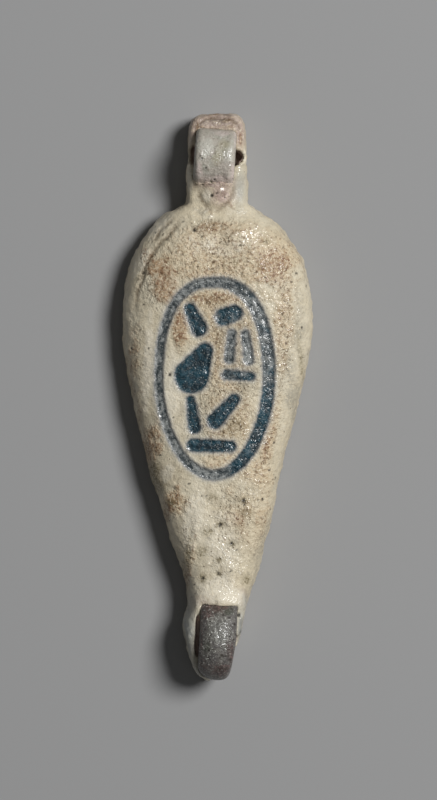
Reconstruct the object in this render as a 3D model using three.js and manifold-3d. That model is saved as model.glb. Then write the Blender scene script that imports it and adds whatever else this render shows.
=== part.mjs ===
// A faience petal bead: a flat-backed petal with a domed face, an inlaid oval with rows of short strokes
// in it, and a small thread ring set crosswise in a socket at each end.
// Millimetres. +X is across the petal, +Y along it towards the broad end, +Z up out of its face.
// The origin is on the flat back, under the middle of the whole bead's length and width.
import * as THREE from "three";
import { mergeVertices } from "three/addons/utils/BufferGeometryUtils.js";
import Module from "manifold-3d";

const wasm = await Module();
wasm.setup();

// The petal's blade. Its lengths, and every rise below, are measured from the line across its widest part.
// A fullness is a superellipse's power: 2 is round, and more is squarer.
const PETAL_WIDTH = 17.0;
const SHOULDER_LENGTH = 10.6; // up to where the round shoulders would close
const SHOULDER_FULLNESS = 2.3;
const TAPER_LENGTH = 34.3; // down to where the taper would come to a point
const TAPER_SWELL = 1.5; // how long the taper stays wide
const TAPER_SHARPNESS = 1.25; // how fine its point would be
const FACE_HEIGHT = 5.0; // from the back to the crest of the face
const FACE_FULLNESS = 2.6;
const FLANK_HEIGHT = 0.8; // height at which a section is widest
const BACK_INSET = 0.7; // the flat back stops this far inside the outline

// The neck and the collar above it, which hold the upper ring.
const NECK_WIDTH = 5.5;
const NECK_FILLET = 1.2;
const COLLAR_WIDTH = 5.0;
const COLLAR_HEIGHT = 3.8;
const COLLAR_REACH = 1.5; // past the end of the upper ring
const COLLAR_ROUNDING = 3.0;
const COLLAR_FULLNESS = 3;

// The tail, which holds the lower ring.
const TAIL_WIDTH = 5.2;
const TAIL_FILLET = 0.8;
const TAIL_HEIGHT = 4.5;
const TAIL_REACH = 0.1; // past the end of the lower ring
const TAIL_ROUNDING = 6.5;
const TAIL_FULLNESS = 2.3;

// A hand-finished petal leans a little from side to side: how far each part's middle is to the right.
const LEAN = { neck: -0.07, shoulder: -0.15, upperTaper: -0.2, lowerTaper: 0.3, tail: -0.5 };

// The rings are oval: the diameter lies along the petal, and the height stands up from the back. Each one
// is set a few degrees askew, and its turn is from straight across the petal.
const UPPER_RING = {
  x: -0.25, rise: 14.5, turn: -4, diameter: 5.2, height: 5.0, length: 3.65, bore: 1.5, rounding: 0.5,
};
const LOWER_RING = {
  x: 0, rise: -28.9, turn: -3, diameter: 7.0, height: 5.6, length: 3.3, bore: 2.0, rounding: 1.2,
};
const SEAT_FLOOR = 0.8; // from the back to the underside of a ring
const SEAT_GAP = 0.3; // joint all round a ring

// The inlay lies in shallow recesses in the face: an oval line, and strokes placed from the oval's centre.
// A stroke's turn is in degrees from +X, and its taper is the far end's width as a share of its width.
const INLAY_DEPTH = 0.25;
const OVAL = {
  x: -0.35, rise: -5.35, width: 9.9, length: 17.3, line: 0.9, headFullness: 2.35, footFullness: 1.9,
};
const STROKES = [
  { x: -1.7, y: 5.3, length: 2.8, width: 1.25, turn: 115, taper: 0.7 },
  { x: 1.35, y: 5.7, length: 2.2, width: 1.35, turn: 20, taper: 0.9 },
  { x: -1.6, y: 1.0, length: 4.2, width: 2.7, turn: 62, taper: 0.45 },
  { x: 1.5, y: 2.9, length: 2.7, width: 0.75, turn: 84, taper: 0.8 },
  { x: 3.0, y: 2.8, length: 2.7, width: 0.75, turn: 98, taper: 0.8 },
  { x: 2.2, y: 0.3, length: 2.6, width: 0.8, turn: -4, taper: 0.8 },
  { x: -1.9, y: -3.2, length: 3.0, width: 1.0, turn: 98, taper: 0.7 },
  { x: 0.9, y: -2.9, length: 3.3, width: 1.25, turn: 48, taper: 0.7 },
  { x: -0.2, y: -6.0, length: 3.9, width: 1.05, turn: -2, taper: 0.85 },
];

// How finely the round forms are cut into flat faces.
const STATIONS = 60;
const OUTLINE_SAMPLES = 2000;
const CROWN_STEPS = 20;
const EDGE_STEPS = 3;
const RING_SEGMENTS = 36;
const BORE_SEGMENTS = 24;
const ROUNDING_STEPS = 4;
const OVAL_STEPS = 56;
const STROKE_STEPS = 6;
const SAME_POINT = 1e-4; // vertices closer than this are one

// The widest line is placed so that the origin comes under the middle of the bead's length.
const TOP_RISE = UPPER_RING.rise + UPPER_RING.diameter / 2 + COLLAR_REACH;
const END_RISE = LOWER_RING.rise - LOWER_RING.diameter / 2 - TAIL_REACH;
const WIDEST_Y = -(TOP_RISE + END_RISE) / 2;

// Where each ring's foot meets the blade.
const NECK_FOOT = UPPER_RING.rise - UPPER_RING.diameter / 2;
const TAIL_FOOT = LOWER_RING.rise + LOWER_RING.diameter / 2;

const cream = new THREE.MeshStandardMaterial({ color: 0xd3c5a4, roughness: 0.45, metalness: 0 });
const grey = new THREE.MeshStandardMaterial({ color: 0xbab3a7, roughness: 0.4, metalness: 0 });
const purple = new THREE.MeshStandardMaterial({ color: 0x5e5854, roughness: 0.35, metalness: 0 });

// A quarter of a superellipse: 1 at 0, falling to 0 at 1.
function quarter(share, fullness) {
  const clamped = Math.min(Math.abs(share), 1);
  return Math.pow(1 - Math.pow(clamped, fullness), 1 / fullness);
}

// How full a round end is at a distance in from its tip: 0 at the tip, 1 past the rounding.
function endFullness(distance, rounding, fullness) {
  return quarter(1 - Math.min(distance / rounding, 1), fullness);
}

// A point on a superellipse of half width 1 and half height 1.
function onSuperellipse(angle, fullness) {
  const signedRoot = (value) => Math.sign(value) * Math.pow(Math.abs(value), 2 / fullness);
  return new THREE.Vector2(signedRoot(Math.cos(angle)), signedRoot(Math.sin(angle)));
}

// The larger of two widths, with a fillet where they cross.
function filletMax(a, b, radius) {
  const near = Math.max(radius - Math.abs(a - b), 0) / radius;
  return Math.max(a, b) + (near * near * radius) / 4;
}

// A smooth curve through a few [rise, value] pairs, given in rising order.
function smoothCurve(pairs) {
  const rises = pairs.map((pair) => pair[0]);
  const values = pairs.map((pair) => pair[1]);
  const curve = new THREE.CubicInterpolant(rises, values, 1);
  return (rise) => curve.evaluate(rise)[0];
}

// How far a section's middle is to the right at each rise.
const lean = smoothCurve([
  [END_RISE, LEAN.tail],
  [LOWER_RING.rise, LEAN.tail],
  [0.8 * LOWER_RING.rise, LEAN.lowerTaper],
  [0.4 * LOWER_RING.rise, LEAN.upperTaper],
  [0, 0],
  [0.6 * UPPER_RING.rise, LEAN.shoulder],
  [TOP_RISE, LEAN.neck],
]);

// Height of the crest above the back, before the ends are rounded off. The shares make it sink gently
// towards the neck and the tail, and a little past each ring.
const crest = smoothCurve([
  [END_RISE, 0.75 * TAIL_HEIGHT],
  [LOWER_RING.rise, 0.85 * TAIL_HEIGHT],
  [TAIL_FOOT, TAIL_HEIGHT],
  [0.6 * LOWER_RING.rise, 0.94 * FACE_HEIGHT],
  [0, FACE_HEIGHT],
  [0.55 * UPPER_RING.rise, 0.92 * FACE_HEIGHT],
  [NECK_FOOT, 0.97 * COLLAR_HEIGHT],
  [UPPER_RING.rise, COLLAR_HEIGHT],
  [TOP_RISE, 0.9 * COLLAR_HEIGHT],
]);

// Half the width of the shoulders, with the neck that runs up from them and closes in the round collar.
function upperHalfWidth(rise) {
  const shoulder = (PETAL_WIDTH / 2) * quarter(rise / SHOULDER_LENGTH, SHOULDER_FULLNESS);
  const up = THREE.MathUtils.clamp((rise - NECK_FOOT) / (TOP_RISE - NECK_FOOT), 0, 1);
  const width = THREE.MathUtils.lerp(NECK_WIDTH, COLLAR_WIDTH, up);
  const neck = (width / 2) * endFullness(TOP_RISE - rise, COLLAR_ROUNDING, COLLAR_FULLNESS);
  return filletMax(shoulder, neck, NECK_FILLET);
}

// Half the width of the taper, which gives way under the lower ring to the round-ended tail.
function lowerHalfWidth(rise) {
  const down = Math.min(-rise / TAPER_LENGTH, 1);
  const taper = (PETAL_WIDTH / 2) * Math.pow(1 - Math.pow(down, TAPER_SWELL), TAPER_SHARPNESS);
  const shown = THREE.MathUtils.smoothstep(rise, LOWER_RING.rise, TAIL_FOOT);
  const tail = (TAIL_WIDTH / 2) * endFullness(rise - END_RISE, TAIL_ROUNDING, TAIL_FULLNESS);
  return filletMax(taper * shown, tail, TAIL_FILLET);
}

function halfWidth(rise) {
  return rise > 0 ? upperHalfWidth(rise) : lowerHalfWidth(rise);
}

// One closed cross-section of the petal as points: over the face from right to left, then under the back.
function section(rise) {
  const toEnd = Math.min(TOP_RISE - rise, rise - END_RISE);
  const half = halfWidth(rise);
  const crown = (crest(rise) - FLANK_HEIGHT) * endFullness(toEnd, COLLAR_REACH, COLLAR_FULLNESS);
  const drop = FLANK_HEIGHT * endFullness(toEnd, BACK_INSET, 2);
  const inset = Math.min(BACK_INSET, half);
  const point = (across, height) => new THREE.Vector3(lean(rise) + across, WIDEST_Y + rise, height);
  const face = [];
  for (let i = 0; i <= CROWN_STEPS; i++) {
    const { x, y } = onSuperellipse((Math.PI * i) / CROWN_STEPS, FACE_FULLNESS);
    face.push(point(half * x, FLANK_HEIGHT + crown * Math.max(y, 0)));
  }
  const leftEdge = [];
  const rightEdge = [];
  for (let i = 1; i <= EDGE_STEPS; i++) {
    const angle = (Math.PI / 2) * (i / EDGE_STEPS);
    const across = half - inset * (1 - Math.cos(angle));
    const height = FLANK_HEIGHT - drop * Math.sin(angle);
    leftEdge.push(point(-across, height));
    rightEdge.unshift(point(across, height));
  }
  return [...face, ...leftEdge, ...rightEdge];
}

// Rises spaced evenly along the outline's arc, so that they lie close where the width changes fast.
function stationRises() {
  const outline = new THREE.Path();
  outline.moveTo(END_RISE, 0);
  for (let i = 1; i < OUTLINE_SAMPLES; i++) {
    const rise = THREE.MathUtils.lerp(END_RISE, TOP_RISE, i / OUTLINE_SAMPLES);
    outline.lineTo(rise, halfWidth(rise));
  }
  outline.lineTo(TOP_RISE, 0);
  const spaced = outline.getSpacedPoints(STATIONS).map((point) => point.x);
  return spaced.slice(1, -1);
}

// The petal's outer form, lofted through its sections and closed at a point at each end.
function petalForm() {
  const rings = stationRises().map(section);
  const around = rings[0].length;
  const tip = (rise) => new THREE.Vector3(lean(rise), WIDEST_Y + rise, FLANK_HEIGHT);
  const points = [tip(END_RISE), ...rings.flat(), tip(TOP_RISE)];
  const at = (ring, i) => 1 + ring * around + (i % around);
  const faces = [];
  for (let i = 0; i < around; i++) {
    faces.push(0, at(0, i), at(0, i + 1));
    faces.push(points.length - 1, at(rings.length - 1, i + 1), at(rings.length - 1, i));
    for (let ring = 0; ring < rings.length - 1; ring++) {
      faces.push(at(ring, i), at(ring + 1, i), at(ring + 1, i + 1));
      faces.push(at(ring, i), at(ring + 1, i + 1), at(ring, i + 1));
    }
  }
  return solid(new THREE.BufferGeometry().setFromPoints(points).setIndex(faces));
}

// A closed geometry as a solid for cutting and joining.
function solid(geometry) {
  const bare = new THREE.BufferGeometry();
  bare.setAttribute("position", geometry.getAttribute("position"));
  bare.setIndex(geometry.getIndex());
  const merged = mergeVertices(bare, SAME_POINT);
  const vertProperties = merged.getAttribute("position").array;
  return new wasm.Manifold(new wasm.Mesh({ numProp: 3, vertProperties, triVerts: merged.getIndex().array }));
}

// A named mesh of a solid.
function piece(name, form, material) {
  const made = form.getMesh();
  const geometry = new THREE.BufferGeometry();
  geometry.setAttribute("position", new THREE.BufferAttribute(made.vertProperties, made.numProp));
  geometry.setIndex(new THREE.BufferAttribute(made.triVerts, 1));
  geometry.computeVertexNormals();
  const mesh = new THREE.Mesh(geometry, material);
  mesh.name = name;
  return mesh;
}

// Lays a form that was made about the Y axis across the petal, in a ring's place.
function lieAcross(geometry, ring, flattening) {
  geometry.rotateZ(THREE.MathUtils.degToRad(ring.turn) - Math.PI / 2);
  geometry.scale(1, 1, flattening);
  return solid(geometry.translate(ring.x, WIDEST_Y + ring.rise, SEAT_FLOOR + ring.height / 2));
}

// A ring's outer form without its bore, grown all round by a gap where it is to be a socket.
function ringForm(ring, gap) {
  const radius = ring.diameter / 2 + gap;
  const halfLength = ring.length / 2 + gap;
  const rounding = ring.rounding + gap;
  const profile = [new THREE.Vector2(0, -halfLength)];
  for (const [side, firstAngle] of [[-1, -Math.PI / 2], [1, 0]]) {
    for (let i = 0; i <= ROUNDING_STEPS; i++) {
      const angle = firstAngle + (Math.PI / 2) * (i / ROUNDING_STEPS);
      const out = radius - rounding + rounding * Math.cos(angle);
      const along = side * (halfLength - rounding) + rounding * Math.sin(angle);
      profile.push(new THREE.Vector2(out, along));
    }
  }
  profile.push(new THREE.Vector2(0, halfLength));
  const flattening = (ring.height / 2 + gap) / radius;
  return lieAcross(new THREE.LatheGeometry(profile, RING_SEGMENTS), ring, flattening);
}

// The round thread hole along a ring's axis, long enough to run clear of the petal on both sides.
function boreForm(ring) {
  const radius = ring.bore / 2;
  const length = ring.length + 2 * PETAL_WIDTH;
  return lieAcross(new THREE.CylinderGeometry(radius, radius, length, BORE_SEGMENTS), ring, 1);
}

function threadRing(ring) {
  return ringForm(ring, 0).subtract(boreForm(ring));
}

// The oval line's shape, between two outlines that are fuller at the head than at the foot.
function ovalShape() {
  const outline = (grow) => {
    const points = [];
    for (let i = 0; i < OVAL_STEPS; i++) {
      const fullness = i < OVAL_STEPS / 2 ? OVAL.headFullness : OVAL.footFullness;
      const { x, y } = onSuperellipse((2 * Math.PI * i) / OVAL_STEPS, fullness);
      points.push(new THREE.Vector2((OVAL.width / 2 + grow) * x, (OVAL.length / 2 + grow) * y));
    }
    return points;
  };
  const shape = new THREE.Shape(outline(OVAL.line / 2));
  shape.holes.push(new THREE.Path(outline(-OVAL.line / 2)));
  return shape;
}

// A stroke's shape: a round-ended bar that narrows towards its far end.
function strokeShape({ x, y, length, width, turn, taper }) {
  const facing = THREE.MathUtils.degToRad(turn);
  const nearRadius = width / 2;
  const farRadius = nearRadius * taper;
  const narrowing = Math.asin((nearRadius - farRadius) / (length - nearRadius - farRadius));
  const side = Math.PI / 2 - narrowing;
  const placeAlong = (distance) => [x + distance * Math.cos(facing), y + distance * Math.sin(facing)];
  const shape = new THREE.Shape();
  shape.absarc(...placeAlong(nearRadius - length / 2), nearRadius, facing + side, facing - side);
  shape.absarc(...placeAlong(length / 2 - farRadius), farRadius, facing - side, facing + side);
  return shape;
}

// The recesses for the inlay: its shapes cut down into the face to one depth below the dome.
function inlayRecess(form) {
  const settings = { depth: 2 * FACE_HEIGHT, bevelEnabled: false, curveSegments: STROKE_STEPS };
  const prisms = [ovalShape(), ...STROKES.map(strokeShape)].map((shape) => {
    const prism = new THREE.ExtrudeGeometry(shape, settings);
    return solid(prism.translate(OVAL.x, WIDEST_Y + OVAL.rise, 0));
  });
  const outlines = prisms.reduce((joined, prism) => joined.add(prism));
  return outlines.subtract(form.translate([0, 0, -INLAY_DEPTH]));
}

// The petal with a socket for each ring, the thread's way out through its flanks, and the inlay's recesses.
function petal() {
  const form = petalForm();
  const seated = [UPPER_RING, LOWER_RING].reduce(
    (left, ring) => left.subtract(ringForm(ring, SEAT_GAP)).subtract(boreForm(ring)),
    form,
  );
  return seated.subtract(inlayRecess(form));
}

const bead = new THREE.Group();
bead.name = "petal_bead";
bead.add(piece("petal", petal(), cream));
bead.add(piece("upper_ring", threadRing(UPPER_RING), grey));
bead.add(piece("lower_ring", threadRing(LOWER_RING), purple));

export default bead;
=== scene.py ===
"""The looks of a faience petal bead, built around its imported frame.

Shapes are worked out in millimetres, as the zero surface of a distance field, and scaled to metres when a
mesh is made. +X is across the petal, +Y along it towards the broad end and +Z up out of its face.
"""

import itertools
import math

import bpy
import numpy as np
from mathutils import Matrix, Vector, noise


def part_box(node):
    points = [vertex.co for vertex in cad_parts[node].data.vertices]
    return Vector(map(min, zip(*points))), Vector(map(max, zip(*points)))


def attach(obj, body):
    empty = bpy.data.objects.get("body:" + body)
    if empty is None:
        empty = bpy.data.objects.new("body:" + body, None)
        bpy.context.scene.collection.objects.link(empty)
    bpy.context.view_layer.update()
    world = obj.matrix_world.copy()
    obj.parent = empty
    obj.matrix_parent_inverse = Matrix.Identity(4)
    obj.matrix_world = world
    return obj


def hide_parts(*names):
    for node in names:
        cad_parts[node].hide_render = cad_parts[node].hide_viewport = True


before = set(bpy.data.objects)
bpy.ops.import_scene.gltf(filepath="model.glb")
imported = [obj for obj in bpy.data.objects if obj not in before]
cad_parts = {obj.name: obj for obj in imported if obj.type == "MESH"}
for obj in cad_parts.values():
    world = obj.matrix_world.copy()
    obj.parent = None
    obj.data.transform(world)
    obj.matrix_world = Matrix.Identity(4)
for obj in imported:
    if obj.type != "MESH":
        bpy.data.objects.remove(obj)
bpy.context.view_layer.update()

MM = 0.001

# The photograph's scale, and where the frame's axes cross in it.
MM_PER_PIXEL = 0.09
PHOTO_SIZE = (437, 800)
PHOTO_ORIGIN = (217.65, 396.75)


def from_photo(px, py):
    """A point of the photograph as x and y in millimetres."""
    return (px - PHOTO_ORIGIN[0]) * MM_PER_PIXEL, (PHOTO_ORIGIN[1] - py) * MM_PER_PIXEL


def node_box(node):
    """A CAD node's lowest and highest corners in millimetres."""
    return tuple(np.array(corner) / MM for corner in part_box(node))


# The petal. A rise is measured from the line across its widest part, and a fullness is the power of a
# superellipse.
PETAL_LOW, PETAL_HIGH = node_box("petal")
TOP_Y = PETAL_HIGH[1]
END_Y = PETAL_LOW[1]
HALF_WIDTH = (PETAL_HIGH[0] - PETAL_LOW[0]) / 2
WIDEST_Y = 6.95
SHOULDER = {"length": 10.6, "fullness": 2.3}
TAPER = {"length": 34.3, "swell": 1.5, "sharpness": 1.25}
FACE_HEIGHT = 5.0
FACE_FULLNESS = 3.2
NECK_FULLNESS = 7.5
FLANK_HEIGHT = 0.8
BACK_INSET = 0.7
NECK_WIDTH = 5.5
NECK_FILLET = 1.2
COLLAR = {"width": 5.0, "height": 3.8, "reach": 1.5, "rounding": 2.7, "fullness": 3.4}
TAIL = {"width": 5.2, "fillet": 0.8, "height": 4.5, "rounding": 6.5, "fullness": 2.3}
LIP = {"height": 0.16, "width": 0.75}
KNOB = {"centre": (-0.1, 18.0, 3.35), "radii": (1.5, 1.2, 1.1), "softness": 0.5}
TIP_SOFTNESS = 0.2

# Where the hand-finished outline strays from that form, as (y, left side, right side), each to the right.
OUTLINE_STRAY = [
    (25.5, -0.05, 0.1), (24.0, 0.0, 0.05), (22.0, 0.1, 0.0), (18.1, 0.1, 0.1), (17.1, 0.05, 0.1),
    (16.6, -0.15, -0.15), (15.2, 0.12, -0.02), (14.3, 0.1, -0.12), (12.5, 0.02, 0.05), (8.5, 0.0, 0.0),
    (4.5, -0.12, 0.1), (2.4, -0.08, 0.12), (-1.0, 0.04, 0.0), (-3.7, 0.08, -0.08), (-7.0, -0.07, -0.08),
    (-10.5, -0.22, -0.05), (-14.2, -0.36, -0.15), (-16.2, -0.18, 0.02), (-18.5, 0.04, 0.04),
    (-20.1, -0.13, 0.0), (-21.6, 0.0, 0.0), (-22.3, 0.05, -0.1), (-23.2, 0.02, -0.55), (-25.0, 0.0, -0.8),
]

# The thread rings, bedded in the paste of the petal, which overlaps them by a hair. A turn is in degrees.
# The rounding grows by the crown on top and by the wear towards the foot. An exit is the width of the
# thread's way out through the petal on one side, and its drop below the ring's middle.
RINGS = {
    "upper_ring": {
        "turn": -4, "diameter": 5.2, "length": 3.65, "bore": 1.5,
        "rounding": 0.5, "crown": 0.1, "wear": 0.1, "worn": False, "lumpiness": 0.05,
        "exits": {"left": (1.5, 0.0), "right": (1.0, 0.9)},
    },
    "lower_ring": {
        "turn": -3, "diameter": 7.0, "length": 3.3, "bore": 2.0,
        "rounding": 0.3, "crown": 1.15, "wear": 1.25, "worn": True, "lumpiness": 0.07,
        "exits": {"left": (1.2, 0.9), "right": (2.0, 0.0)},
    },
}
BORE_ROUNDING = 0.2
JOINT = -0.03
JOINT_FILLET = 0.08

# The lower ring's right side is worn away towards its foot, by a plane that leans this many degrees.
WORN_SIDE = {"lean": -11, "reach": 1.76, "softness": 0.4}

# Paste smeared up the end of a ring that faces the petal's middle: how thick, how high and how softly it
# joins. It starts at a share of the ring's diameter from its middle, and its own edge is soft too.
SMEARS = {
    "upper_ring": {"thickness": -0.02, "height": 4.9, "softness": 1.1},
    "lower_ring": {"thickness": 0.35, "height": 4.3, "softness": 0.7},
}
SMEAR_START = 0.3
SMEAR_EDGE = 0.3

# The smeared paste's height wavers across the petal, by (how far, radians a millimetre, start in radians).
SMEAR_WAVES = [(0.13, 2.1, 1.0), (0.07, 5.3, 0.0)]

# Hollows beside the rings. Their middles and their half widths and lengths are in the photograph's pixels,
# and their floors and raised lips in millimetres. At its floor a hollow is narrower, by the foot's share,
# and it is at its full width above the flare.
HOLLOWS_PX = [
    {"middle": (237.2, 157.0), "half": (6.1, 6.4), "floor": 1.0, "lip": 0.16},
    {"middle": (235.4, 161.0), "half": (4.4, 6.2), "floor": 1.0, "lip": 0.0},
    {"middle": (193.6, 155.5), "half": (3.2, 12.5), "floor": 2.4, "lip": 0.0},
    {"middle": (198.0, 628.0), "half": (3.6, 22.0), "floor": 4.25, "lip": 0.0},
    {"middle": (197.4, 645.0), "half": (4.0, 16.0), "floor": 4.0, "lip": 0.0},
]
HOLLOW_FLARE = 2.4
HOLLOW_FOOT = 0.6
LIP_SPREAD = 0.2

# The inlay, placed from the oval's centre. A stroke's turn is in degrees from +X, its taper is the far
# end's width as a share of its width, and violet is its colour's share of violet, the rest being teal.
OVAL = {"x": -0.35, "y": 1.6, "width": 9.9, "length": 17.3, "line": 0.84, "head": 2.35, "foot": 1.9}
STROKES = [
    {"x": -1.7, "y": 5.3, "length": 2.8, "width": 1.25, "turn": 115, "taper": 0.7, "violet": 0.1},
    {"x": 1.35, "y": 5.7, "length": 2.2, "width": 1.35, "turn": 20, "taper": 0.9, "violet": 0.35},
    {"x": -1.6, "y": 1.0, "length": 4.2, "width": 2.7, "turn": 62, "taper": 0.45, "violet": 0.0},
    {"x": 1.5, "y": 2.9, "length": 2.7, "width": 0.75, "turn": 84, "taper": 0.8, "violet": 0.9},
    {"x": 3.0, "y": 2.8, "length": 2.7, "width": 0.75, "turn": 98, "taper": 0.8, "violet": 0.9},
    {"x": 2.2, "y": 0.3, "length": 2.6, "width": 0.8, "turn": -4, "taper": 0.8, "violet": 0.5},
    {"x": -1.9, "y": -3.2, "length": 3.0, "width": 1.0, "turn": 98, "taper": 0.7, "violet": 0.1},
    {"x": 0.9, "y": -2.9, "length": 3.3, "width": 1.25, "turn": 48, "taper": 0.7, "violet": 0.05},
    {"x": -0.2, "y": -6.0, "length": 3.9, "width": 1.05, "turn": -2, "taper": 0.85, "violet": 0.2},
]
STROKE_SPREAD = 1.14
INLAY_DIP = 0.15

# Stains as soft ovals, placed in the photograph's pixels: (x, y, half width, half length, turn, strength).
STAINS_PX = {
    "tan": [
        (228, 262, 76, 26, 0, 1.0), (216, 236, 48, 18, 0, 0.6), (268, 260, 28, 20, 30, 0.9),
        (283, 325, 13, 56, -4, 0.8), (269, 435, 9, 44, -10, 1.0), (254, 470, 26, 12, -35, 0.9),
        (216, 300, 46, 11, 0, 1.0), (230, 348, 32, 50, 0, 1.0), (230, 425, 30, 32, 0, 0.9),
        (180, 325, 10, 26, 0, 1.0), (240, 508, 24, 34, 0, 0.5), (222, 462, 28, 9, 0, 1.0),
        (176, 502, 16, 16, 0, 0.8), (262, 520, 8, 40, -14, 0.6), (190, 560, 7, 44, -12, 0.7),
        (245, 232, 20, 12, 0, 0.35), (190, 178, 5, 14, 0, 0.3), (228, 540, 22, 40, 0, 0.35),
    ],
    "brown": [
        (164, 282, 15, 26, 14, 1.0), (133, 360, 9, 50, -4, 0.5), (139, 415, 8, 40, -8, 0.4),
        (152, 444, 12, 28, -14, 0.85), (168, 512, 7, 44, -22, 0.6), (188, 575, 5, 34, -8, 0.6),
        (150, 260, 8, 22, 35, 0.7), (209, 229, 19, 7, 8, 0.9), (272, 262, 20, 14, 25, 0.8),
        (240, 521, 14, 12, 0, 0.6), (180, 328, 8, 20, 0, 0.9), (268, 440, 6, 32, -10, 0.6),
        (275, 272, 14, 20, 0, 0.6), (214, 299, 34, 6, 0, 0.8), (205, 274, 44, 8, -3, 0.35),
        (228, 352, 14, 30, 0, 0.5), (282, 318, 6, 34, -4, 0.4), (178, 502, 10, 10, 0, 0.5),
        (244, 462, 16, 7, -35, 0.4), (226, 121, 6, 3, 0, 1.0), (240.5, 140, 2, 9, 0, 0.9),
        (197, 130, 2, 11, 0, 0.8), (213, 114, 9, 2, 0, 0.8), (204, 127, 9, 2, 0, 0.3),
        (232, 127.5, 9, 2, 0, 0.7), (209, 212, 8, 2, -40, 0.5), (231, 206, 3, 8, 30, 0.6),
    ],
    "grit": [
        (236, 512, 24, 36, 0, 0.5), (225, 565, 24, 26, 0, 0.25), (232, 268, 64, 18, 0, 0.6),
        (230, 350, 30, 50, 0, 1.0), (216, 298, 44, 9, 0, 0.9), (268, 440, 9, 50, -10, 0.6),
        (135, 370, 10, 70, -4, 0.35), (180, 560, 10, 50, -16, 0.4), (152, 285, 12, 26, 15, 0.6),
        (207, 226, 15, 7, 10, 0.8), (302, 330, 6, 60, 4, 0.2), (262, 540, 8, 40, -16, 0.3),
        (150, 446, 9, 26, -14, 0.6), (218, 418, 30, 26, 0, 0.7), (284, 330, 10, 60, -3, 0.7),
        (216, 245, 50, 16, 0, 0.5),
    ],
    # Whitish paste, with the shaded left of the neck painted as if lit and a painted highlight on the rim
    # beside the upper ring's hole
    "pale_and_painted_lighting": [
        (193, 520, 11, 36, -11, 1.0), (148, 365, 6, 56, -3, 1.0), (171, 385, 6, 40, -3, 1.0),
        (279, 450, 7, 56, -9, 0.4), (220, 540, 22, 44, 0, 0.65), (215, 590, 24, 16, 0, 1.0),
        (160, 226, 16, 7, 40, 0.9), (141, 262, 8, 22, -32, 0.8), (166, 472, 8, 14, -20, 0.8),
        (232, 548, 10, 26, 0, 0.4), (190, 178, 4, 16, 0, 1.0), (210, 218, 18, 5, 0, 0.4),
        (244, 156, 2.5, 10, 0, 0.9), (207, 196, 6, 8, 0, 0.8), (200, 673, 9, 2.5, 35, 1.0),
        (245, 606, 2.5, 14, 12, 0.8), (222, 246, 40, 16, 0, 0.6), (178, 395, 7, 34, -6, 0.6),
        (236, 598, 10, 8, 0, 0.6),
    ],
    "olive": [
        (154, 471, 6, 9, 0, 1.0), (158, 486, 7, 10, 0, 0.7), (202, 551, 5, 6, 0, 0.7),
        (208, 531, 6, 6, 0, 0.7), (244, 500, 4, 3, 0, 1.0), (220, 524, 4, 3, 0, 1.0),
        (231, 543, 5, 3, 0, 1.0), (219, 559, 3, 3, 0, 0.9), (219, 573, 3, 3, 0, 0.9),
        (203, 578, 4, 5, 0, 0.8), (246, 579, 5, 5, 0, 0.7), (171, 502, 5, 4, 0, 0.8),
        (246, 512, 6, 5, 0, 0.5), (235, 262, 5, 4, 0, 0.5), (266, 242, 4, 4, 0, 0.6),
        (300, 356, 3, 30, 8, 0.5), (212, 497, 5, 5, 0, 0.6), (232, 425, 14, 12, 0, 0.5),
        (225, 340, 14, 30, 0, 0.3), (192, 174, 4, 8, 0, 0.2), (209, 301, 10, 5, 0, 0.35),
        (209, 227, 10, 4, 10, 0.4), (187, 560, 4, 30, -10, 0.5),
    ],
    "grey": [
        (300, 318, 9, 44, 0, 0.5), (293, 392, 9, 48, 6, 0.7), (258, 540, 9, 34, -14, 0.45),
        (217, 122, 24, 7, 0, 0.65), (214, 436, 34, 7, 0, 0.45), (244, 360, 14, 50, 0, 0.7),
        (222, 330, 8, 20, 0, 0.5), (204, 212, 8, 5, 30, 0.7), (196, 208, 7, 6, 40, 0.4),
        (196, 600, 7, 10, 0, 0.5),
    ],
    "pink": [
        (217, 121, 32, 13, 0, 1.0), (240, 136, 6, 14, 0, 0.9), (192, 130, 6, 18, 0, 0.7),
        (222, 196, 12, 10, 0, 1.0), (242, 596, 5, 8, 0, 0.6), (204, 599, 10, 6, 0, 0.6),
        (216, 184, 21, 6, 0, 1.0),
    ],
    "glass": [
        (187, 632, 11, 42, 0, 1.0), (198, 670, 10, 12, 0, 0.7), (241, 632, 5, 26, 0, 1.0),
        (240, 186, 6, 20, 0, 0.7), (247, 604, 4, 12, 14, 0.6),
    ],
    "wet": [
        (245, 233, 14, 9, 0, 1.0), (221, 190, 3, 4, 0, 1.0), (237, 170, 4, 4, 0, 1.0),
        (217, 122, 16, 4, 0, 0.8), (219, 596, 14, 8, 0, 0.4), (215, 560, 24, 30, 0, 0.4),
        (254, 212, 8, 8, 0, 0.5), (192, 215, 20, 12, 0, 0.5), (252, 300, 14, 14, 0, 0.4),
    ],
}

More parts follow.
